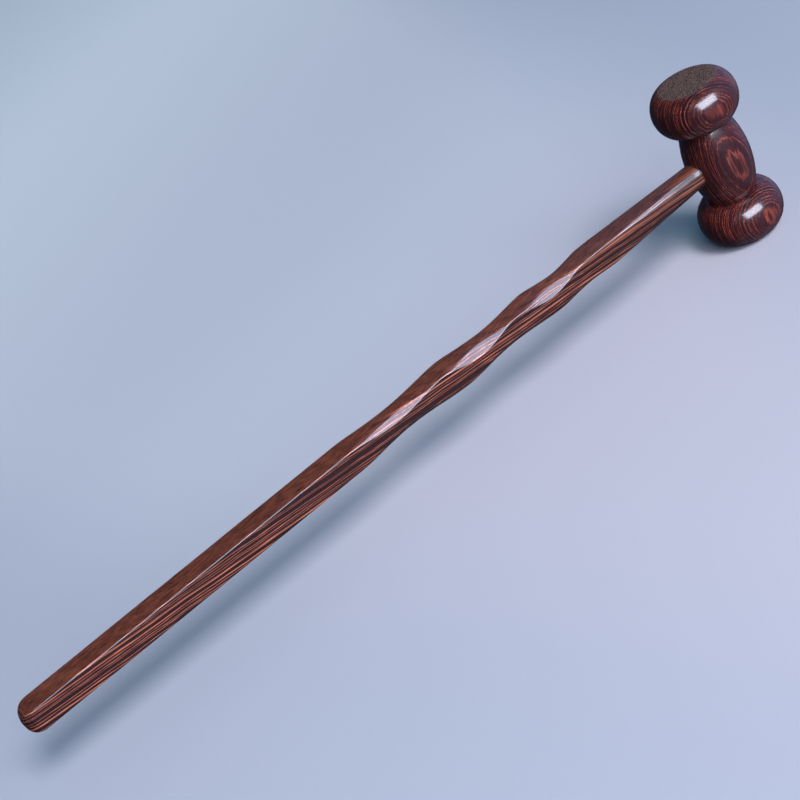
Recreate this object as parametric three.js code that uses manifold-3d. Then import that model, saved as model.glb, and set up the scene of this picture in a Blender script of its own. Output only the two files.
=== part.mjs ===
// Dumbbell-shaped tapping hammer turned and carved from dark, close-striped wenge wood.
//
// Three solids: a turned head (two rounded buns joined by an oval barrel), a long
// handle whose round tenon sits in a blind side bore of the barrel, and the thin cup
// of cured glue that holds the tenon in the bore.
//
// Units are millimetres. The origin is the centre of the lower striking face, +Z runs
// along the head to the upper striking face, and the handle runs towards -X.

import * as THREE from 'three';
import { mergeVertices } from 'three/addons/utils/BufferGeometryUtils.js';
import Module from 'manifold-3d';

// Whole object.
const OVERALL_LENGTH = 430; // far side of the buns to the grip end

// Head, a solid of revolution about Z.
const HEAD_HEIGHT = 86;
const BUN_RADIUS = 21;
const BUN_HEIGHT = 22.8;
const STRIKING_FACE_RADIUS = 12;
const GROOVE_RADIUS = 12;
const BARREL_RADIUS = 15.9;
const HEAD_SEGMENTS = 60;
const EDGE_STEPS = 6; // profile steps in each quarter ellipse of a bun
const BARREL_STEPS = 10;

// Joint between head and handle, on a horizontal axis through the barrel's middle.
const JOINT_HEIGHT = HEAD_HEIGHT / 2;
const BORE_RADIUS = 6.7;
const BORE_BOTTOM = 8; // how far the bore passes the head's axis
const TENON_RADIUS = 6.4;
const GLUE_THICKNESS = 0.2;
const GLUE_CLEARANCE = 0.05; // on each side of the glue
const GLUE_RIM = 13.6; // distance of the glue's open rim from the head's axis
const ROUND_SEGMENTS = 48;

// Handle. A distance along it is measured from the head's axis towards the grip.
const GRIP_END = OVERALL_LENGTH - BUN_RADIUS;
const GRIP_HALF_WIDTH = 6.75; // across, along Y
const GRIP_HALF_HEIGHT = 6; // up, along Z
const GRIP_EDGE_RADIUS = 0.8;
const NECK_RADIUS = 6.5;
const NECK_ROUND_AT = 18; // the neck is fully round from here to the head
const NECK_SQUARE_AT = 77; // and a sharp-edged square from here to the grip
const SWELL = 0.35; // extra half thickness in the middle of the scalloped stretch
const SWELL_START = 50;
const SWELL_END = 250;
const END_DOME_LENGTH = 8;
const END_DOME_POWER = 2.4; // exponent of the superellipse that rounds the grip end
const END_DOME_SWEEP = 0.43 * Math.PI; // a small flat is left at the very end
const SIDES = 8; // four faces and the four corner cuts between them
const ARC_POINTS = 4; // points on each rounded edge between two sides
const COLLAR_STEPS = 2; // sections from the glue's rim to the end of the round neck
const NECK_STEPS = 10; // on to the first crest
const SCALLOP_STEPS = 54; // on to the last crest
const RUN_OUT_STEPS = 3; // on to the end of the swell
const GRIP_STEPS = 2; // on to the dome
const END_DOME_STEPS = 8;

// Scallops cut along the four corners: the crests that bound them, and their depths.
const SCALLOP_SMOOTHNESS = 2; // a higher power gives softer crests
const SCALLOPS = {
  topFar: { side: 1, crests: [84, 119, 171, 232], depths: [2.1, 2.4, 2.0] },
  topNear: { side: 3, crests: [88, 131, 175, 230], depths: [2.6, 2.8, 2.1] },
  bottomNear: { side: 5, crests: [71, 108, 165, 229], depths: [1.3, 2.5, 2.7] },
  bottomFar: { side: 7, crests: [78, 113, 168, 231], depths: [1.8, 2.4, 2.3] },
};

const wasm = await Module();
wasm.setup();

function blend(from, to, share) {
  return from + (to - from) * share;
}

function clampedShare(value, start, end) {
  return Math.min(1, Math.max(0, (value - start) / (end - start)));
}

// Turns a closed three.js geometry into a solid that can be cut.
function toSolid(geometry) {
  const bare = geometry.clone();
  bare.deleteAttribute('normal');
  bare.deleteAttribute('uv');
  const merged = mergeVertices(bare, 1e-4);
  const vertProperties = new Float32Array(merged.attributes.position.array);
  const triVerts = new Uint32Array(merged.index.array);
  return new wasm.Manifold(new wasm.Mesh({ numProp: 3, vertProperties, triVerts }));
}

function toGeometry(solid) {
  const mesh = solid.getMesh();
  const geometry = new THREE.BufferGeometry();
  geometry.setAttribute('position', new THREE.BufferAttribute(mesh.vertProperties, 3));
  geometry.setIndex(new THREE.BufferAttribute(mesh.triVerts, 1));
  geometry.computeVertexNormals();
  return geometry;
}

// Points of a quarter ellipse around (0, centreHeight), from the angle start to end.
function quarterEllipse(innerRadius, outerRadius, centreHeight, halfHeight, start, end) {
  const points = [];
  for (let step = 0; step <= EDGE_STEPS; step += 1) {
    const angle = blend(start, end, step / EDGE_STEPS);
    const radius = innerRadius + (outerRadius - innerRadius) * Math.cos(angle);
    points.push(new THREE.Vector2(radius, centreHeight + halfHeight * Math.sin(angle)));
  }
  return points;
}

// One bun, from its lower flat or groove to its upper one.
function bunProfile(base, lowerRadius, upperRadius) {
  const middle = base + BUN_HEIGHT / 2;
  const half = BUN_HEIGHT / 2;
  const lower = quarterEllipse(lowerRadius, BUN_RADIUS, middle, half, -Math.PI / 2, 0);
  const upper = quarterEllipse(upperRadius, BUN_RADIUS, middle, half, 0, Math.PI / 2);
  return [...lower, ...upper.slice(1)];
}

// The barrel's arc between the two grooves, without its end points.
function barrelProfile() {
  const halfChord = HEAD_HEIGHT / 2 - BUN_HEIGHT;
  const rise = BARREL_RADIUS - GROOVE_RADIUS;
  const arcRadius = (halfChord ** 2 + rise ** 2) / (2 * rise);
  const halfAngle = Math.asin(halfChord / arcRadius);
  const points = [];
  for (let step = 1; step < BARREL_STEPS; step += 1) {
    const angle = blend(-halfAngle, halfAngle, step / BARREL_STEPS);
    const radius = BARREL_RADIUS - arcRadius * (1 - Math.cos(angle));
    points.push(new THREE.Vector2(radius, HEAD_HEIGHT / 2 + arcRadius * Math.sin(angle)));
  }
  return points;
}

function makeHead() {
  const profile = [
    new THREE.Vector2(0, 0),
    ...bunProfile(0, STRIKING_FACE_RADIUS, GROOVE_RADIUS),
    ...barrelProfile(),
    ...bunProfile(HEAD_HEIGHT - BUN_HEIGHT, GROOVE_RADIUS, STRIKING_FACE_RADIUS),
    new THREE.Vector2(0, HEAD_HEIGHT),
  ];
  const turned = new THREE.LatheGeometry(profile, HEAD_SEGMENTS);
  turned.rotateX(Math.PI / 2);

  const boreLength = BORE_BOTTOM + BUN_RADIUS;
  const drill = new THREE.CylinderGeometry(BORE_RADIUS, BORE_RADIUS, boreLength, ROUND_SEGMENTS);
  drill.rotateZ(Math.PI / 2);
  drill.translate(BORE_BOTTOM - boreLength / 2, 0, JOINT_HEIGHT);
  return toGeometry(toSolid(turned).subtract(toSolid(drill)));
}

// How deep each corner cut goes at one distance along the handle, by side number.
function scallopDepths(distance) {
  const depths = new Array(SIDES).fill(0);
  for (const { side, crests, depths: cuts } of Object.values(SCALLOPS)) {
    cuts.forEach((cut, index) => {
      const centre = (crests[index] + crests[index + 1]) / 2;
      const halfLength = (crests[index + 1] - crests[index]) / 2;
      const offset = (distance - centre) / halfLength;
      if (Math.abs(offset) < 1) {
        depths[side] = cut * (1 - offset ** 2) ** SCALLOP_SMOOTHNESS;
      }
    });
  }
  return depths;
}

// The eight-sided section at one distance: how far its sides stand from the axis once
// moved in by the edge radius, and that radius.
function handleSection(distance) {
  const squareness = clampedShare(distance, NECK_ROUND_AT, NECK_SQUARE_AT);
  const roundRadius = distance > GLUE_RIM ? NECK_RADIUS : TENON_RADIUS;
  const edgeRadius = blend(roundRadius, GRIP_EDGE_RADIUS, squareness);
  const outward = SWELL * Math.sin(Math.PI * clampedShare(distance, SWELL_START, SWELL_END)) ** 2;
  const inward = outward - edgeRadius;
  const insetWidth = blend(roundRadius, GRIP_HALF_WIDTH, squareness) + inward;
  const insetHeight = blend(roundRadius, GRIP_HALF_HEIGHT, squareness) + inward;
  const corner = (insetWidth + insetHeight) / Math.SQRT2;
  const depths = scallopDepths(distance);
  const insets = depths.map((depth, side) => {
    if (side % 2 === 1) {
      return corner - depth;
    }
    return side % 4 === 0 ? insetWidth : insetHeight;
  });
  return { insets, edgeRadius };
}

// Point number `index` round a section, counted from +Y towards +Z.
function sectionPoint({ insets, edgeRadius }, index) {
  const side = Math.floor(index / ARC_POINTS) % SIDES;
  const nextInset = insets[(side + 1) % SIDES];
  const sideAngle = (2 * Math.PI * side) / SIDES;
  const turn = (2 * Math.PI) / SIDES;
  const along = (nextInset - insets[side] * Math.cos(turn)) / Math.sin(turn);
  const arcAngle = sideAngle + (turn * ((index % ARC_POINTS) + 0.5)) / ARC_POINTS;
  const y = insets[side] * Math.cos(sideAngle) - along * Math.sin(sideAngle);
  const z = insets[side] * Math.sin(sideAngle) + along * Math.cos(sideAngle);
  return new THREE.Vector2(
    y + edgeRadius * Math.cos(arcAngle),
    z + edgeRadius * Math.sin(arcAngle),
  );
}

function evenSteps(start, end, count) {
  return Array.from({ length: count }, (_, step) => blend(start, end, step / count));
}

// Distances and scale factors of all sections, from the tenon's end to the grip's end.
function handleStations() {
  const tenonEnd = -(BORE_BOTTOM - GLUE_THICKNESS - 2 * GLUE_CLEARANCE);
  const allCrests = Object.values(SCALLOPS).flatMap(({ crests }) => crests);
  const firstCrest = Math.min(...allCrests);
  const lastCrest = Math.max(...allCrests);
  const domeStart = GRIP_END - END_DOME_LENGTH;
  const distances = [
    tenonEnd,
    GLUE_RIM,
    ...evenSteps(GLUE_RIM + GLUE_CLEARANCE, NECK_ROUND_AT, COLLAR_STEPS),
    ...evenSteps(NECK_ROUND_AT, firstCrest, NECK_STEPS),
    ...evenSteps(firstCrest, lastCrest, SCALLOP_STEPS),
    ...evenSteps(lastCrest, SWELL_END, RUN_OUT_STEPS),
    ...evenSteps(SWELL_END, domeStart, GRIP_STEPS),
  ];
  const stations = distances.map((distance) => ({ distance, scale: 1 }));
  for (let step = 0; step <= END_DOME_STEPS; step += 1) {
    const angle = (END_DOME_SWEEP * step) / END_DOME_STEPS;
    const reach = (Math.sin(angle) / Math.sin(END_DOME_SWEEP)) ** (2 / END_DOME_POWER);
    const scale = Math.cos(angle) ** (2 / END_DOME_POWER);
    stations.push({ distance: domeStart + END_DOME_LENGTH * reach, scale });
  }
  return stations;
}

// The handle is a closed cylinder grid whose rings are moved onto the sections.
function makeHandle() {
  const stations = handleStations();
  const ringPoints = SIDES * ARC_POINTS;
  const rings = stations.length - 1;
  const grid = new THREE.CylinderGeometry(1, 1, rings, ringPoints, rings);
  const { position } = grid.attributes;
  for (let vertex = 0; vertex < position.count; vertex += 1) {
    const ring = Math.round(rings / 2 - position.getY(vertex));
    const { distance, scale } = stations[ring];
    const radius = Math.hypot(position.getX(vertex), position.getZ(vertex));
    const angle = Math.atan2(position.getX(vertex), position.getZ(vertex));
    const index = Math.round((angle / (2 * Math.PI)) * ringPoints + ringPoints) % ringPoints;
    const point = sectionPoint(handleSection(distance), index).multiplyScalar(scale * radius);
    position.setXYZ(vertex, -distance, point.x, point.y + JOINT_HEIGHT);
  }
  return toGeometry(toSolid(grid));
}

// A thin cup with its mouth towards the grip.
function makeGlueCup() {
  const outer = BORE_RADIUS - GLUE_CLEARANCE;
  const inner = outer - GLUE_THICKNESS;
  const bottom = -(BORE_BOTTOM - GLUE_CLEARANCE);
  const floor = bottom + GLUE_THICKNESS;
  const profile = [
    new THREE.Vector2(0, bottom),
    new THREE.Vector2(outer, bottom),
    new THREE.Vector2(outer, GLUE_RIM - GLUE_CLEARANCE),
    new THREE.Vector2(inner, GLUE_RIM - GLUE_CLEARANCE),
    new THREE.Vector2(inner, floor),
    new THREE.Vector2(0, floor),
  ];
  const cup = new THREE.LatheGeometry(profile, ROUND_SEGMENTS);
  cup.rotateZ(Math.PI / 2);
  cup.translate(0, 0, JOINT_HEIGHT);
  return toGeometry(toSolid(cup));
}

function addPart(group, name, geometry, look) {
  const mesh = new THREE.Mesh(geometry, new THREE.MeshStandardMaterial(look));
  mesh.name = name;
  group.add(mesh);
}

const hammer = new THREE.Group();
addPart(hammer, 'head', makeHead(), { color: 0x4a2420, roughness: 0.35, metalness: 0 });
addPart(hammer, 'handle', makeHandle(), { color: 0x5f3a30, roughness: 0.4, metalness: 0 });
addPart(hammer, 'glue_film', makeGlueCup(), { color: 0xb08a4c, roughness: 0.5, metalness: 0 });

export default hammer;
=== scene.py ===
"""Looks of a wenge tapping hammer: a turned dumbbell head on a carved, scalloped handle."""

import math

import bmesh
import bpy
from mathutils import Matrix, Vector, noise


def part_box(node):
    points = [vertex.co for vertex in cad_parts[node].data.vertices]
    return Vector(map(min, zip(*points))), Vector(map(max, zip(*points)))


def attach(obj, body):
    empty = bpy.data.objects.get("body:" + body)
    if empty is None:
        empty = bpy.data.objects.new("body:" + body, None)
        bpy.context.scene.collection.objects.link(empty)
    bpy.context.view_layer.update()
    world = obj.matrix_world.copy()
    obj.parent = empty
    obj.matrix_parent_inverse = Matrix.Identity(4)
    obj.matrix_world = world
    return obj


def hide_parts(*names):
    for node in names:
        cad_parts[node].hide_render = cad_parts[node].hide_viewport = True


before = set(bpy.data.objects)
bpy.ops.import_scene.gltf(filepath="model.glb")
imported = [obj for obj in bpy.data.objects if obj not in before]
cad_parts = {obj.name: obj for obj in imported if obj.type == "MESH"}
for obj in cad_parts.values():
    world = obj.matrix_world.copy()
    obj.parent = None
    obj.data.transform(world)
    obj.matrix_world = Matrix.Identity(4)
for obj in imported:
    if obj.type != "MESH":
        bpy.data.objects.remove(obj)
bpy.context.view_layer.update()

MM = 0.001
SLIVER_WIDTH = 0.002 * MM

# Places that the frame gives.
HEAD_LOW, HEAD_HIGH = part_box("head")
HANDLE_LOW, HANDLE_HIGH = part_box("handle")
HEAD_HEIGHT = HEAD_HIGH.z - HEAD_LOW.z
BUN_RADIUS = (HEAD_HIGH.y - HEAD_LOW.y) / 2
JOINT_CENTRE = Vector((0, 0, (HANDLE_LOW.z + HANDLE_HIGH.z) / 2))
GRIP_END = -HANDLE_LOW.x

# Head shape.
BUN_HEIGHT = 22.8 * MM
STRIKING_FACE_RADIUS = 12 * MM
GROOVE_RADIUS = 12 * MM
BARREL_RADIUS = 15.9 * MM
BORE_RADIUS = 6.7 * MM
BORE_BOTTOM = 8 * MM
HEAD_SEGMENTS = 192
BORE_SEGMENTS = 128
EDGE_STEPS = 26
BARREL_STEPS = 60
FACE_RINGS = (0.25, 0.6, 0.9, 0.98)
SHARPEST_CREASE = math.radians(40)

# Handle shape. A distance along it is measured from the head's axis towards the grip.
GRIP_HALF_WIDTH = 6.75 * MM
GRIP_HALF_HEIGHT = 6 * MM
GRIP_EDGE_RADIUS = 0.8 * MM
TENON_RADIUS = 6.4 * MM
NECK_RADIUS = 6.5 * MM
NECK_ROUND_AT = 18 * MM
NECK_SQUARE_AT = 77 * MM
SHOULDER = BARREL_RADIUS - 2 * MM
SWELL = 0.35 * MM
SWELL_START = 50 * MM
SWELL_END = 250 * MM
END_DOME_LENGTH = 8 * MM
END_DOME_POWER = 2.4
END_DOME_SWEEP = 0.47 * math.pi
END_DOME_RINGS = 28
SIDES = 8
ARC_POINTS = 12
SCALLOP_SMOOTHNESS = 2
SCALLOPS = (
    {"side": 1, "crests": (84, 119, 171, 232), "depths": (2.1, 2.4, 2.0)},
    {"side": 3, "crests": (88, 131, 175, 230), "depths": (2.6, 2.8, 2.1)},
    {"side": 5, "crests": (71, 108, 165, 229), "depths": (1.3, 2.5, 2.7)},
    {"side": 7, "crests": (78, 113, 168, 231), "depths": (1.8, 2.4, 2.3)},
)
UPPER_RIDGES = {1: 1, 2: 3}  # corner after this side: the scalloped side beside it
RIDGE_SOFTENING = 3.0
LEAST_SOFTENING = 0.3 * MM
WIDEST_SOFTENING = 2.2 * MM
SANDING_WAVE = 0.05 * MM
SANDING_PITCH = 14 * MM
TENON_RING_SPACING = 4 * MM
NECK_RING_SPACING = 0.8 * MM
SCALLOP_RING_SPACING = 0.6 * MM
GRIP_RING_SPACING = 2 * MM

# Glue bead.
BEAD_RADIUS = 0.22 * MM
BEAD_STEPS = 160
BEAD_RING_POINTS = 14

# Camera, as an offset from the joint and three turns. Its lens and sensor are in mm.
CAMERA_OFFSET = Vector((-320.6, -545.9, 340.1)) * MM
CAMERA_HEADING = math.radians(-12.94)
CAMERA_PITCH = math.radians(-30.77)
CAMERA_ROLL = math.radians(-32.37)
CAMERA_LENS = 65.25
CAMERA_SENSOR = 36.0


def mix(start, end, share):
    return start + (end - start) * share


def clamped_share(value, start, end):
    return min(1, max(0, (value - start) / (end - start)))


# ---------------------------------------------------------------- mesh helpers


def skin(name, rings, looped=False):
    """A closed mesh through rings of equally many points, capped or joined end to end."""
    count = len(rings[0])
    points = [point for ring in rings for point in ring]
    faces = []
    last = len(rings) if looped else len(rings) - 1
    for ring in range(last):
        here = ring * count
        there = (ring + 1) % len(rings) * count
        for index in range(count):
            after = (index + 1) % count
            faces.append((here + index, here + after, there + after, there + index))
    if not looped:
        start = len(points)
        points.append(sum(rings[0], Vector()) / count)
        points.append(sum(rings[-1], Vector()) / count)
        tail = (len(rings) - 1) * count
        for index in range(count):
            after = (index + 1) % count
            faces.append((start, after, index))
            faces.append((start + 1, tail + index, tail + after))
    mesh = bpy.data.meshes.new(name)
    mesh.from_pydata(points, [], faces)
    mesh.validate()
    mesh.update()
    mesh.shade_smooth()
    piece = bpy.data.objects.new(name, mesh)
    bpy.context.scene.collection.objects.link(piece)
    return piece


def turned(name, profile, segments):
    """A body of revolution about Z from (radius, height) pairs, lowest first."""
    rings = []
    for radius, height in profile:
        ring = []
        for step in range(segments):
            angle = 2 * math.pi * step / segments
            ring.append(Vector((radius * math.cos(angle), radius * math.sin(angle), height)))
        rings.append(ring)
    return skin(name, rings)


def drop_slivers(mesh):
    """Splits a mesh into triangles and takes out the ones that have no area."""
    edited = bmesh.new()
    edited.from_mesh(mesh)
    bmesh.ops.triangulate(edited, faces=edited.faces)
    bmesh.ops.dissolve_degenerate(edited, dist=SLIVER_WIDTH, edges=edited.edges)
    edited.to_mesh(mesh)
    edited.free()


def cut(piece, cutter):
    """Takes the cutter's volume out of the piece and removes the cutter."""
    modifier = piece.modifiers.new("cut", "BOOLEAN")
    modifier.operation = "DIFFERENCE"
    modifier.solver = "EXACT"
    modifier.object = cutter
    depsgraph = bpy.context.evaluated_depsgraph_get()
    result = bpy.data.meshes.new_from_object(piece.evaluated_get(depsgraph))
    drop_slivers(result)
    piece.modifiers.clear()
    piece.data = result
    bpy.data.objects.remove(cutter)


# ---------------------------------------------------------------- head


def bun_profile(base):
    """One bun from its lower rim to its upper rim: half an ellipse."""
    half = BUN_HEIGHT / 2
    points = []
    for step in range(2 * EDGE_STEPS + 1):
        angle = math.pi * (step / (2 * EDGE_STEPS) - 0.5)
        radius = GROOVE_RADIUS + (BUN_RADIUS - GROOVE_RADIUS) * math.cos(angle)
        points.append((radius, base + half + half * math.sin(angle)))
    return points


def barrel_arc_radius():
    half_chord = HEAD_HEIGHT / 2 - BUN_HEIGHT
    rise = BARREL_RADIUS - GROOVE_RADIUS
    return (half_chord**2 + rise**2) / (2 * rise)


def barrel_radius(height):
    """The barrel's radius at a height above its middle."""
    arc = barrel_arc_radius()
    return BARREL_RADIUS - arc + math.sqrt(arc**2 - height**2)


def barrel_profile():
    half_chord = HEAD_HEIGHT / 2 - BUN_HEIGHT
    points = []
    for step in range(1, BARREL_STEPS):
        height = mix(-half_chord, half_chord, step / BARREL_STEPS)
        points.append((barrel_radius(height), JOINT_CENTRE.z + height))
    return points


def flat_rings(height, shares):
    """Rings that keep a striking face flat up to its rim."""
    return [(STRIKING_FACE_RADIUS * share, height) for share in shares]


def make_head():
    profile = flat_rings(HEAD_LOW.z, FACE_RINGS)
    profile += bun_profile(HEAD_LOW.z)
    profile += barrel_profile()
    profile += bun_profile(HEAD_HIGH.z - BUN_HEIGHT)
    profile += flat_rings(HEAD_HIGH.z, reversed(FACE_RINGS))
    head = turned("turned_head", profile, HEAD_SEGMENTS)
    bore_profile = [(BORE_RADIUS, -BORE_BOTTOM), (BORE_RADIUS, BUN_RADIUS)]
    drill = turned("drill", bore_profile, BORE_SEGMENTS)
    drill.data.transform(Matrix.Rotation(-math.pi / 2, 4, "Y"))
    drill.data.transform(Matrix.Translation(JOINT_CENTRE))
    cut(head, drill)
    head.data.shade_smooth()
    head.data.set_sharp_from_angle(angle=SHARPEST_CREASE)
    return head


# ---------------------------------------------------------------- handle


def scallop_depths(distance):
    depths = [0.0] * SIDES
    for row in SCALLOPS:
        crests = [crest * MM for crest in row["crests"]]
        for depth, start, end in zip(row["depths"], crests, crests[1:]):
            offset = (distance - (start + end) / 2) / ((end - start) / 2)
            if abs(offset) < 1:
                depths[row["side"]] = depth * MM * (1 - offset**2) ** SCALLOP_SMOOTHNESS
    return depths


def handle_section(distance):
    """Inset side distances and edge radius of the eight-sided section."""
    squareness = clamped_share(distance, NECK_ROUND_AT, NECK_SQUARE_AT)
    round_radius = NECK_RADIUS if distance > SHOULDER else TENON_RADIUS
    edge = mix(round_radius, GRIP_EDGE_RADIUS, squareness)
    swell = SWELL * math.sin(math.pi * clamped_share(distance, SWELL_START, SWELL_END)) ** 2
    width = mix(round_radius, GRIP_HALF_WIDTH, squareness) + swell - edge
    height = mix(round_radius, GRIP_HALF_HEIGHT, squareness) + swell - edge
    corner = (width + height) / math.sqrt(2)
    insets = []
    for side, depth in enumerate(scallop_depths(distance)):
        if side % 2:
            insets.append(corner - depth)
        else:
            insets.append(height if side % 4 else width)
    return insets, edge


def ridge_softening(side, depths):
    """Extra rounding where a scallop runs out into the top face."""
    if side not in UPPER_RIDGES:
        return 0.0
    softening = LEAST_SOFTENING + RIDGE_SOFTENING * depths[UPPER_RIDGES[side]]
    return min(WIDEST_SOFTENING, softening)


def section_points(distance, scale):
    """One ring of the handle, counted from +Y towards +Z."""
    insets, edge = handle_section(distance)
    depths = scallop_depths(distance)
    turn = 2 * math.pi / SIDES
    ring = []
    for side in range(SIDES):
        angle = side * turn
        extra = ridge_softening(side, depths)
        inset, next_inset = insets[side] - extra, insets[(side + 1) % SIDES] - extra
        along = (next_inset - inset * math.cos(turn)) / math.sin(turn)
        corner_y = inset * math.cos(angle) - along * math.sin(angle)
        corner_z = inset * math.sin(angle) + along * math.cos(angle)
        for point in range(ARC_POINTS):
            normal = angle + turn * (point + 0.5) / ARC_POINTS
            y = corner_y + (edge + extra) * math.cos(normal)
            z = corner_z + (edge + extra) * math.sin(normal)
            place = Vector((-distance, y * scale, z * scale + JOINT_CENTRE.z))
            wave = SANDING_WAVE * noise.noise(place / SANDING_PITCH)
            place += Vector((0, math.cos(normal), math.sin(normal))) * wave * scale
            ring.append(place)
    return ring


def steps(start, end, size):
    count = max(1, round((end - start) / size))
    return [mix(start, end, step / count) for step in range(count)]


def handle_distances():
    """Where the rings lie: close together in the neck and closest along the scallops."""
    tenon_end = -HANDLE_HIGH.x
    dome_start = GRIP_END - END_DOME_LENGTH
    distances = steps(tenon_end, SHOULDER, TENON_RING_SPACING)
    distances += steps(SHOULDER, NECK_SQUARE_AT, NECK_RING_SPACING)
    distances += steps(NECK_SQUARE_AT, SWELL_END, SCALLOP_RING_SPACING)
    distances += steps(SWELL_END, dome_start, GRIP_RING_SPACING)
    return distances


def make_handle():
    rings = [section_points(distance, 1) for distance in handle_distances()]
    for step in range(END_DOME_RINGS + 1):
        angle = END_DOME_SWEEP * step / END_DOME_RINGS
        reach = (math.sin(angle) / math.sin(END_DOME_SWEEP)) ** (2 / END_DOME_POWER)
        scale = math.cos(angle) ** (2 / END_DOME_POWER)
        distance = GRIP_END - END_DOME_LENGTH * (1 - reach)
        rings.append(section_points(distance, scale))
    return skin("carved_handle", rings)


# ---------------------------------------------------------------- glue bead


def make_glue_bead():
    """A thin ring of glue and lacquer where the neck enters the barrel."""
    path_radius = (BORE_RADIUS + NECK_RADIUS) / 2

    def path(step):
        angle = 2 * math.pi * step / BEAD_STEPS
        y = path_radius * math.cos(angle)
        z = path_radius * math.sin(angle)
        x = -math.sqrt(barrel_radius(z) ** 2 - y**2)
        return JOINT_CENTRE + Vector((x, y, z))

    rings = []
    for step in range(BEAD_STEPS):
        centre = path(step)
        along = (path(step + 1) - path(step - 1)).normalized()
        outward = (centre - JOINT_CENTRE).cross(along).normalized()
        across = along.cross(outward)
        ring = []
        for point in range(BEAD_RING_POINTS):
            angle = 2 * math.pi * point / BEAD_RING_POINTS
            offset = outward * math.cos(angle) + across * math.sin(angle)
            ring.append(centre + offset * BEAD_RADIUS)
        rings.append(ring)
    return skin("glue_bead", rings, looped=True)


# ---------------------------------------------------------------- materials


class Graph:
    """Short calls for building the node tree of one material or world."""

    def __init__(self, owner):
        self.owner = owner
        owner.use_nodes = True
        self.tree = owner.node_tree
        self.tree.nodes.clear()

    def node(self, kind, settings=None, **inputs):
        made = self.tree.nodes.new(kind)
        for key, value in (settings or {}).items():
            setattr(made, key, value)
        for key, value in inputs.items():
            self.feed(made.inputs[key.replace("_", " ")], value)
        return made

    def feed(self, socket, value):
        if isinstance(value, bpy.types.NodeSocket):
            self.tree.links.new(value, socket)
        else:
            socket.default_value = value

    def math(self, operation, *values, clamp=False):
        made = self.tree.nodes.new("ShaderNodeMath")
        made.operation = operation
        made.use_clamp = clamp
        for socket, value in zip(made.inputs, values):
            self.feed(socket, value)
        return made.outputs[0]

    def dot(self, vector, direction):
        made = self.tree.nodes.new("ShaderNodeVectorMath")
        made.operation = "DOT_PRODUCT"
        self.feed(made.inputs[0], vector)
        self.feed(made.inputs[1], direction)
        return made.outputs["Value"]

    def scaled(self, place, pitch):
        """Wood coordinates as a vector in repeats, from repeats per mm across and along."""
        across, along = pitch
        made = self.tree.nodes.new("ShaderNodeCombineXYZ")
        for socket, distance, repeats in zip(made.inputs, place, (across, across, along)):
            self.feed(socket, self.math("MULTIPLY", distance, repeats))
        return made.outputs[0]

    def noise(self, vector, scale=1.0, detail=2.0, roughness=0.5):
        made = self.tree.nodes.new("ShaderNodeTexNoise")
        made.inputs["Scale"].default_value = scale
        made.inputs["Detail"].default_value = detail
        made.inputs["Roughness"].default_value = roughness
        self.feed(made.inputs["Vector"], vector)
        return made.outputs["Fac"]

    def line_noise(self, value, scale, detail=1.0):
        made = self.tree.nodes.new("ShaderNodeTexNoise")
        made.noise_dimensions = "1D"
        made.inputs["Scale"].default_value = scale
        made.inputs["Detail"].default_value = detail
        self.feed(made.inputs["W"], value)
        return made.outputs["Fac"]

    def ramp(self, value, low, high, out_low=0.0, out_high=1.0):
        made = self.tree.nodes.new("ShaderNodeMapRange")
        made.interpolation_type = "SMOOTHSTEP"
        for name, number in (
            ("Value", value),
            ("From Min", low),
            ("From Max", high),
            ("To Min", out_low),
            ("To Max", out_high),
        ):
            self.feed(made.inputs[name], number)
        return made.outputs[0]

    def blend(self, share, first, second):
        made = self.tree.nodes.new("ShaderNodeMix")
        made.data_type = "RGBA"
        self.feed(made.inputs[0], share)
        self.feed(made.inputs[6], first)
        self.feed(made.inputs[7], second)
        return made.outputs[2]

    def stripes(self, value, stops):
        """A repeating colour pattern from (position, colour) stops."""
        made = self.tree.nodes.new("ShaderNodeValToRGB")
        ramp = made.color_ramp
        ramp.interpolation = "EASE"
        for position, colour in stops[1:-1]:
            ramp.elements.new(position).color = colour
        ramp.elements[0].position, ramp.elements[0].color = stops[0]
        ramp.elements[-1].position, ramp.elements[-1].color = stops[-1]
        self.feed(made.inputs[0], value)
        return made.outputs[0]

    def finish(self, **inputs):
        shader = self.node("ShaderNodeBsdfPrincipled", **inputs)
        output = self.node("ShaderNodeOutputMaterial")
        self.tree.links.new(shader.outputs[0], output.inputs["Surface"])
        return self.owner


def linear(red, green, blue):
    """A colour given as 0 to 255 display values."""

    def channel(value):
        share = value / 255
        return share / 12.92 if share <= 0.04045 else ((share + 0.055) / 1.055) ** 2.4

    return (channel(red), channel(green), channel(blue), 1.0)


# How fine each layer of the wood is, in repeats per mm across and along the grain.
WOBBLE_PITCH = (0.08, 0.03)
FLAME_PITCH = (0.7, 0.07)
FRAY_PITCH = (1.8, 0.06)
SPACING_PITCH = 0.3  # across only
PATCH_PITCH = (0.22, 0.035)
STREAK_PITCH = (2.2, 0.02)
FIBRE_PITCH = (3.0, 0.05)
VESSEL_PITCH = (1.9, 0.07)
DOT_PITCH = (2.5, 0.2)

# Where a layer starts and is complete, as values of its noise.
PATCH_RANGE = (0.34, 0.62)
STREAK_RANGE = (0.36, 0.62)
DARK_FIBRE_RANGE = (0.6, 0.36)
VESSEL_RANGE = (0.3, 0.16)
DOT_RANGE = (0.47, 0.6)
LACQUER_RANGE = (0.34, 0.58)
SATIN_RANGE = (0.3, 0.7)

# How squarely a surface faces the fibres or the growth bands, as cosines.
END_GRAIN_FACING = (0.9, 0.993)
FLAT_SAWN_FACING = (0.6, 0.95)

# Places along the grain, in mm.
END_GRAIN_DISTANCE = (38.0, 40.0)
# Painted shade: the handle's colour darkens towards the head along this stretch.
PAINTED_NECK_SHADE_RANGE = (-130.0, -30.0)

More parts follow.
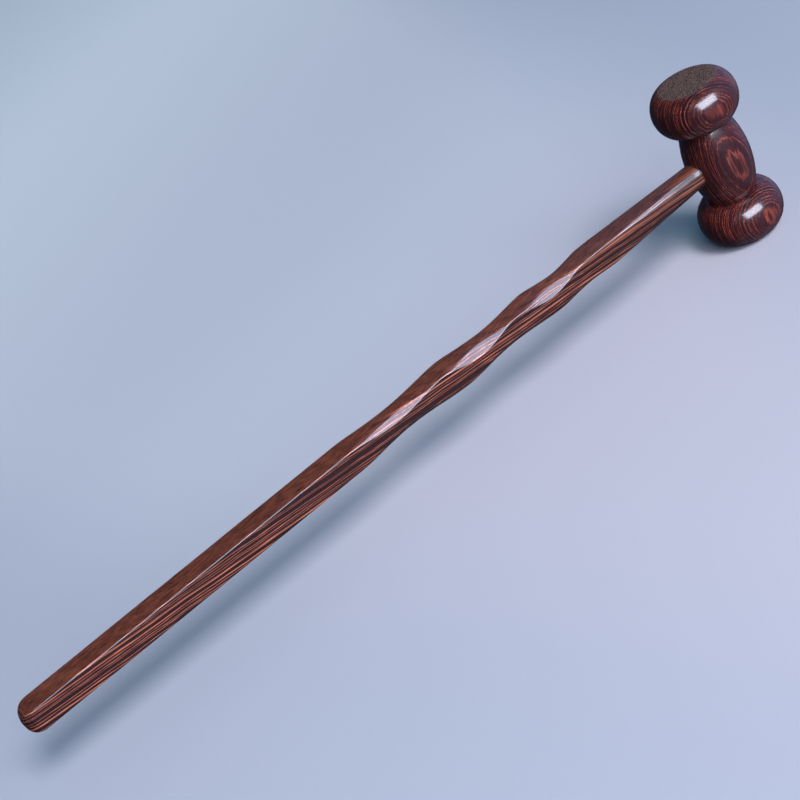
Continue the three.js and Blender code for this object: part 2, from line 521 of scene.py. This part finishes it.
DARK_FIBRE_STRENGTH = 0.6
VESSEL_STRENGTH = 0.3
PORE_DEPTH = 0.03 * MM
WOOD_RELIEF = 0.5
LACQUER_RELIEF = 0.2
WOOD_SPECULAR = 0.15
SATIN_ROUGHNESS = (0.38, 0.55)
END_GRAIN_ROUGHNESS = 0.3
END_GRAIN_DULLING = 0.85
LACQUER_IOR = 1.5


def wood_place(graph, place, grain, radial, look):
    """Wood coordinates in mm: along the bands, across the bands and along the grain."""
    axes = (grain.cross(radial), radial, grain)
    u, v, w = [graph.dot(place, axis / MM) for axis in axes]
    spiral = graph.math("MULTIPLY_ADD", w, look["twist"], -look["twist"] * look["middle"])
    v = graph.math("MULTIPLY_ADD", graph.math("MULTIPLY", spiral, u), -1.0, v)
    return u, v, w


def growth_phase(graph, place, look):
    """Where a point lies in the repeating growth pattern, from 0 to 1."""
    u, v, _ = place
    depth = graph.math("MULTIPLY_ADD", graph.math("MULTIPLY", u, u), look["ring_bend"], v)
    wobble = graph.noise(graph.scaled(place, WOBBLE_PITCH), detail=1.0)
    flame = graph.noise(graph.scaled(place, FLAME_PITCH))
    fray = graph.noise(graph.scaled(place, FRAY_PITCH), detail=1.0)
    depth = graph.math("MULTIPLY_ADD", wobble, look["wobble"], depth)
    depth = graph.math("MULTIPLY_ADD", flame, look["flame"], depth)
    depth = graph.math("MULTIPLY_ADD", fray, look["fray"], depth)
    spacing = graph.math("MULTIPLY", graph.line_noise(depth, SPACING_PITCH), look["unevenness"])
    spacing = graph.math("ADD", spacing, look["first_line"])
    return graph.math("FRACT", graph.math("MULTIPLY_ADD", depth, 1 / look["pattern_pitch"], spacing))


def end_grain_share(graph, normal, grain, w, look):
    """1 where a surface cuts across the fibres at an end of the wood, otherwise 0."""
    facing = graph.ramp(graph.math("ABSOLUTE", graph.dot(normal, grain)), *END_GRAIN_FACING)
    from_middle = graph.math("ABSOLUTE", graph.math("SUBTRACT", w, look["middle"]))
    return graph.math("MULTIPLY", facing, graph.ramp(from_middle, *END_GRAIN_DISTANCE))


def calm_share(graph, normal, radial, look):
    """How much of the stripes gives way to fine streaks, on faces square to the bands."""
    facing = graph.ramp(graph.math("ABSOLUTE", graph.dot(normal, radial)), *FLAT_SAWN_FACING)
    return graph.math("MULTIPLY", facing, look["calm"])


def band_colour(graph, place, calm, end_grain, look):
    """Stripes, patches and streaks, without the fibres, vessels and dots on them."""
    colour = graph.stripes(growth_phase(graph, place, look), look["stripes"])
    patches = graph.noise(graph.scaled(place, PATCH_PITCH))
    strength = graph.ramp(patches, *PATCH_RANGE, look["faintest"], 1.0)
    colour = graph.blend(strength, look["ground"], colour)
    streaks = graph.noise(graph.scaled(place, STREAK_PITCH), detail=3.0, roughness=0.6)
    streaks = graph.ramp(streaks, *STREAK_RANGE)
    colour = graph.blend(calm, colour, graph.blend(streaks, *look["calm_colours"]))
    return graph.blend(end_grain, colour, look["end_colour"])


def vessel_share(graph, place):
    """1 in the open pores, which are long along the grain and dots across it."""
    place = graph.scaled(place, VESSEL_PITCH)
    cells = graph.node("ShaderNodeTexVoronoi", Vector=place, Scale=1.0)
    return graph.ramp(cells.outputs["Distance"], *VESSEL_RANGE)


def wenge(name, grain, radial, look):
    """Solid lacquered wenge: growth bands across `radial`, fibres along `grain`."""
    graph = Graph(bpy.data.materials.new(name))
    grain = Vector(grain).normalized()
    radial = (Vector(radial) - grain * Vector(radial).dot(grain)).normalized()
    coordinates = graph.node("ShaderNodeTexCoord").outputs
    place = wood_place(graph, coordinates["Object"], grain, radial, look)
    end_grain = end_grain_share(graph, coordinates["Normal"], grain, place[-1], look)
    calm = calm_share(graph, coordinates["Normal"], radial, look)

    fibre = graph.noise(graph.scaled(place, FIBRE_PITCH), detail=3.0, roughness=0.7)
    dark_fibre = graph.ramp(fibre, *DARK_FIBRE_RANGE, 0.0, DARK_FIBRE_STRENGTH)
    vessel = vessel_share(graph, place)
    dots = graph.ramp(graph.noise(graph.scaled(place, DOT_PITCH)), *DOT_RANGE)
    colour = band_colour(graph, place, calm, end_grain, look)
    colour = graph.blend(dark_fibre, colour, look["fibre"])
    colour = graph.blend(graph.math("MULTIPLY", vessel, VESSEL_STRENGTH), colour, look["fibre"])
    colour = graph.blend(graph.math("MULTIPLY", dots, end_grain), colour, look["speck"])
    # Painted shade: the colour darkens towards the head, in place of less light on the neck.
    painted_shade = graph.ramp(place[-1], *PAINTED_NECK_SHADE_RANGE, 0.0, look["painted_neck_shade"])
    colour = graph.blend(painted_shade, colour, look["fibre"])

    pores = {"Height": graph.math("MULTIPLY_ADD", vessel, -1.0, fibre), "Distance": PORE_DEPTH}
    satin = graph.ramp(fibre, *SATIN_RANGE, *SATIN_ROUGHNESS)
    thinnest = look["coat"] * look["thinnest_coat"]
    lacquer = graph.ramp(fibre, *LACQUER_RANGE, thinnest, look["coat"])
    return graph.finish(
        Base_Color=colour,
        Roughness=graph.math("MULTIPLY_ADD", end_grain, END_GRAIN_ROUGHNESS, satin),
        Specular_IOR_Level=WOOD_SPECULAR,
        Normal=graph.node("ShaderNodeBump", Strength=WOOD_RELIEF, **pores).outputs[0],
        Coat_Weight=graph.math("MULTIPLY_ADD", end_grain, -END_GRAIN_DULLING, lacquer, clamp=True),
        Coat_Roughness=look["coat_roughness"],
        Coat_IOR=LACQUER_IOR,
        Coat_Normal=graph.node("ShaderNodeBump", Strength=LACQUER_RELIEF, **pores).outputs[0],
    )


BLACK_BROWN = linear(22, 8, 13)
DARK_RED = linear(67, 21, 28)
MID_RED = linear(102, 39, 41)
ORANGE = linear(190, 88, 66)
SALMON = linear(188, 98, 80)
CHOCOLATE = linear(37, 16, 17)
BROWN = linear(124, 64, 52)
TAN = linear(232, 146, 112)

# How the wood lies in each piece: along its fibres, and across its growth bands.
HEAD_GRAIN = (0, 0, 1)
HEAD_RADIAL = (-0.04, -1, 0)
HANDLE_GRAIN = (1, 0, -0.085)
HANDLE_RADIAL = (0, 0.1, 1)

# The look of each piece. Colours go from dark to light. "middle", "wobble", "flame", "fray"
# and "pattern_pitch" are in mm, "ring_bend" and "twist" are per mm, "unevenness" and
# "first_line" are in repeats of the stripes, and the other numbers are shares from 0 to 1.
HEAD_LOOK = {
    "ring_bend": -0.007,
    "twist": 0.0057,
    "middle": 43.0,
    "wobble": 2.6,
    "flame": 1.1,
    "fray": 0.6,
    "unevenness": 0.8,
    "pattern_pitch": 4.25,
    "first_line": 0.225,
    "stripes": (
        (0.00, BLACK_BROWN),
        (0.04, DARK_RED),
        (0.09, ORANGE),
        (0.14, DARK_RED),
        (0.20, BLACK_BROWN),
        (0.25, MID_RED),
        (0.31, BLACK_BROWN),
        (0.37, DARK_RED),
        (0.42, ORANGE),
        (0.48, DARK_RED),
        (0.55, BLACK_BROWN),
        (0.62, DARK_RED),
        (0.67, SALMON),
        (0.72, DARK_RED),
        (0.78, BLACK_BROWN),
        (0.84, DARK_RED),
        (0.89, ORANGE),
        (0.95, BLACK_BROWN),
    ),
    "faintest": 0.25,
    "ground": linear(49, 16, 22),
    "calm": 0.4,
    "calm_colours": (DARK_RED, MID_RED),
    "end_colour": linear(27, 22, 25),
    "fibre": BLACK_BROWN,
    "speck": linear(132, 106, 97),
    "coat": 1.0,
    "thinnest_coat": 0.8,
    "painted_neck_shade": 0.0,
    "coat_roughness": 0.16,
}

HANDLE_LOOK = {
    "ring_bend": 0.0036,
    "twist": 0.0,
    "middle": 0.0,
    "wobble": 1.6,
    "flame": 0.8,
    "fray": 0.45,
    "unevenness": 1.1,
    "pattern_pitch": 4.4,
    "first_line": 0.0,
    "stripes": (
        (0.00, CHOCOLATE),
        (0.05, BROWN),
        (0.09, TAN),
        (0.13, BROWN),
        (0.18, CHOCOLATE),
        (0.34, CHOCOLATE),
        (0.40, TAN),
        (0.46, BROWN),
        (0.52, CHOCOLATE),
        (0.66, CHOCOLATE),
        (0.72, BROWN),
        (0.77, TAN),
        (0.82, CHOCOLATE),
        (0.93, CHOCOLATE),
    ),
    "faintest": 0.75,
    "ground": CHOCOLATE,
    "calm": 0.92,
    "calm_colours": (linear(64, 30, 22), linear(144, 79, 57)),
    "end_colour": linear(60, 38, 34),
    "fibre": CHOCOLATE,
    "speck": linear(140, 96, 76),
    "coat": 0.95,
    "thinnest_coat": 0.55,
    # Painted shade on the neck, darkening it towards the head.
    "painted_neck_shade": 0.45,
    "coat_roughness": 0.14,
}


GLUE_DARK = linear(52, 28, 20)
GLUE_LIGHT = linear(84, 50, 32)
GLUE_CLOUDS = 900.0  # per metre
GLUE_RELIEF = 0.3
GLUE_RELIEF_DEPTH = 0.02 * MM
GLUE_ROUGHNESS = 0.25
GLUE_COAT = 0.5

PAPER = linear(196, 198, 217)
# Painted light and shade: tones of the paper that stand in for uneven light on the floor.
MIDDLE_PAPER_PAINTED_LIGHT = linear(196, 204, 223)
NEAR_PAPER_PAINTED_SHADE = linear(184, 192, 213)
RIGHT_PAPER_PAINTED_SHADE = linear(173, 184, 206)
FAR_PAPER_PAINTED_LIGHT = linear(232, 240, 254)
PAPER_TOOTH = linear(235, 238, 245)
TOOTH_PITCH = 500.0  # per metre
TOOTH_STRENGTH = 0.05

# Painted light falloff on the floor: directions over the floor as the camera sees them, and
# where along them, in mm, each painted tone starts and is complete.
FAR_LEFT = Vector((-0.406, 0.914, 0))
NEAR_LEFT = Vector((-0.914, -0.406, 0))
RIGHT = Vector((0.975, -0.224, 0))
PAINTED_FALLOFF_TONES = (
    (FAR_LEFT, 0, 250, MIDDLE_PAPER_PAINTED_LIGHT),
    (FAR_LEFT, 300, 1000, FAR_PAPER_PAINTED_LIGHT),
    (NEAR_LEFT, 170, 310, NEAR_PAPER_PAINTED_SHADE),
    (RIGHT, -60, 110, RIGHT_PAPER_PAINTED_SHADE),
)


def glue_material():
    graph = Graph(bpy.data.materials.new("cured_glue"))
    place = graph.node("ShaderNodeTexCoord").outputs["Object"]
    cloud = graph.noise(place, scale=GLUE_CLOUDS)
    relief = {"Height": cloud, "Strength": GLUE_RELIEF, "Distance": GLUE_RELIEF_DEPTH}
    return graph.finish(
        Base_Color=graph.blend(cloud, GLUE_DARK, GLUE_LIGHT),
        Roughness=GLUE_ROUGHNESS,
        Normal=graph.node("ShaderNodeBump", **relief).outputs[0],
        Coat_Weight=GLUE_COAT,
    )


def backdrop_material():
    """Matt paper with painted light falloff: lighter far off, darker near and to the right."""
    graph = Graph(bpy.data.materials.new("backdrop_paper_painted_falloff"))
    place = graph.node("ShaderNodeTexCoord").outputs["Object"]
    colour = PAPER
    for direction, start, end, tone in PAINTED_FALLOFF_TONES:
        distance = graph.dot(place, direction / MM)
        colour = graph.blend(graph.ramp(distance, start, end), colour, tone)
    tooth = graph.noise(place, scale=TOOTH_PITCH, detail=3.0)
    colour = graph.blend(graph.math("MULTIPLY", tooth, TOOTH_STRENGTH), colour, PAPER_TOOTH)
    return graph.finish(Base_Color=colour, Roughness=1.0, Specular_IOR_Level=0.0)


def dress(piece, material):
    piece.data.materials.clear()
    piece.data.materials.append(material)


# ---------------------------------------------------------------- scene


FLOOR_REACH = 4.0
FLOOR_GAP = 0.2 * MM


def make_floor():
    """A floor just under the head. The wood neither mirrors it nor takes light from it."""
    low, high = -FLOOR_REACH, FLOOR_REACH
    points = [(low, low, 0), (high, low, 0), (high, high, 0), (low, high, 0)]
    mesh = bpy.data.meshes.new("floor")
    mesh.from_pydata(points, [], [(0, 1, 2, 3)])
    floor = bpy.data.objects.new("floor", mesh)
    floor.location.z = HEAD_LOW.z - FLOOR_GAP
    bpy.context.scene.collection.objects.link(floor)
    dress(floor, backdrop_material())
    floor.visible_glossy = False
    floor.visible_diffuse = False


def direction_to(azimuth, elevation):
    azimuth = math.radians(azimuth)
    elevation = math.radians(elevation)
    level = math.cos(elevation)
    return Vector((level * math.cos(azimuth), level * math.sin(azimuth), math.sin(elevation)))


def add_softbox(name, aim, azimuth, elevation, distance, size, power, colour):
    """An area light aimed at a point and seen from it at the given angles, in degrees."""
    data = bpy.data.lights.new(name, "AREA")
    data.shape = "RECTANGLE"
    data.size, data.size_y = size
    data.energy = power
    data.color = colour
    direction = direction_to(azimuth, elevation)
    lamp = bpy.data.objects.new(name, data)
    lamp.location = aim + direction * distance
    lamp.rotation_euler = direction.to_track_quat("Z", "Y").to_euler()
    bpy.context.scene.collection.objects.link(lamp)
    return lamp


# Light from all around, in linear colours, and the directions it comes from, with the
# cosines to each direction where it starts and is complete.
LOW_AMBIENT = (0.01, 0.02, 0.03, 1)
HIGH_AMBIENT = (0.115, 0.25, 0.325, 1)
FLOOR_BOUNCE = (0.48, 0.52, 0.68, 1)
MIRRORED_ROOM = (0.03, 0.035, 0.06, 1)
MIRRORED_TABLE = (0.16, 0.175, 0.27, 1)
MIRRORED_WALL = (0.2, 0.34, 0.62, 1)
DISTANCE = linear(160, 177, 200)
OVERHEAD = Vector((0.5, -0.2, 0.84))
OVERHEAD_RANGE = (-0.1, 0.9)
BOUNCE = Vector((0.5, -0.65, -0.57))
BOUNCE_RANGE = (0.05, 0.85)
TABLE = Vector((0.25, -0.6, -0.75))
TABLE_RANGE = (0.3, 0.8)
WALL = Vector((0.9, 0.1, 0.4))
WALL_RANGE = (0.4, 0.9)


def studio_world():
    """Pale ambient light, the dimmer room that the lacquer mirrors, and a plain distance."""
    world = bpy.data.worlds.new("studio")
    graph = Graph(world)
    direction = graph.node("ShaderNodeTexCoord").outputs["Generated"]
    overhead = graph.ramp(graph.dot(direction, OVERHEAD), *OVERHEAD_RANGE)
    bounce = graph.ramp(graph.dot(direction, BOUNCE), *BOUNCE_RANGE)
    ambient = graph.blend(overhead, LOW_AMBIENT, HIGH_AMBIENT)
    ambient = graph.blend(bounce, ambient, FLOOR_BOUNCE)
    table = graph.ramp(graph.dot(direction, TABLE), *TABLE_RANGE)
    wall = graph.ramp(graph.dot(direction, WALL), *WALL_RANGE)
    mirrored = graph.blend(table, MIRRORED_ROOM, MIRRORED_TABLE)
    mirrored = graph.blend(wall, mirrored, MIRRORED_WALL)
    rays = graph.node("ShaderNodeLightPath").outputs
    colour = graph.blend(rays["Is Glossy Ray"], ambient, mirrored)
    colour = graph.blend(rays["Is Camera Ray"], colour, DISTANCE)
    background = graph.node("ShaderNodeBackground", Color=colour, Strength=1.0)
    output = graph.node("ShaderNodeOutputWorld")
    graph.feed(output.inputs["Surface"], background.outputs[0])
    bpy.context.scene.world = world


def add_keys():
    """Two lamps, one above the other, that give the handle its broad soft shadow."""
    handle_middle = Vector((-GRIP_END / 2, 0, JOINT_CENTRE.z))
    for name, elevation, power in (("low_key", 44.5, 118), ("high_key", 53.5, 115)):
        key = add_softbox(
            name,
            aim=handle_middle,
            azimuth=-72,
            elevation=elevation,
            distance=6.0,
            size=(1.9, 1.1),
            power=power,
            colour=(1.0, 0.93, 0.92),
        )
        key.visible_glossy = False


def add_window():
    """The window that the lacquer mirrors, with the weak light it casts on the head."""
    fill = add_softbox(
        "window_fill",
        aim=JOINT_CENTRE,
        azimuth=-87,
        elevation=31,
        distance=1.7,
        size=(1.5, 1.0),
        power=20,
        colour=(1.0, 0.94, 1.0),
    )
    fill.visible_glossy = False
    window = add_softbox(
        "window",
        aim=JOINT_CENTRE,
        azimuth=-87,
        elevation=31,
        distance=1.5,
        size=(1.35, 0.86),
        power=70,
        colour=(0.74, 0.82, 1.0),
    )
    window.visible_diffuse = False


def add_sash(handle):
    """The dim top of the window, which shows only in the carved faces of the handle."""
    sash = add_softbox(
        "sash",
        aim=JOINT_CENTRE,
        azimuth=-80,
        elevation=57,
        distance=1.5,
        size=(1.7, 0.42),
        power=24,
        colour=(0.82, 0.76, 1.0),
    )
    sash.visible_diffuse = False
    receivers = bpy.data.collections.new("sash_receivers")
    receivers.objects.link(handle)
    sash.light_linking.receiver_collection = receivers


def light_scene(handle):
    add_keys()
    add_window()
    add_sash(handle)
    studio_world()
    bpy.context.scene.view_settings.view_transform = "Standard"


def add_camera():
    data = bpy.data.cameras.new("camera")
    data.lens = CAMERA_LENS
    data.sensor_width = CAMERA_SENSOR
    camera = bpy.data.objects.new("camera", data)
    turn = Matrix.Rotation(CAMERA_HEADING, 4, "Z")
    turn @= Matrix.Rotation(math.pi / 2 + CAMERA_PITCH, 4, "X")
    turn @= Matrix.Rotation(CAMERA_ROLL, 4, "Z")
    camera.matrix_world = Matrix.Translation(JOINT_CENTRE + CAMERA_OFFSET) @ turn
    bpy.context.scene.collection.objects.link(camera)
    bpy.context.scene.camera = camera


def place_pieces():
    """Makes and dresses every piece, and returns the handle."""
    head = make_head()
    dress(head, wenge("head_wenge", HEAD_GRAIN, HEAD_RADIAL, HEAD_LOOK))
    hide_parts("head")

    handle = make_handle()
    dress(handle, wenge("handle_wenge", HANDLE_GRAIN, HANDLE_RADIAL, HANDLE_LOOK))
    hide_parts("handle")

    glue = glue_material()
    bead = make_glue_bead()
    dress(bead, glue)
    dress(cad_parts["glue_film"], glue)
    for piece in (head, handle, bead):
        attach(piece, "root")
    return handle


make_floor()
light_scene(place_pieces())
add_camera()
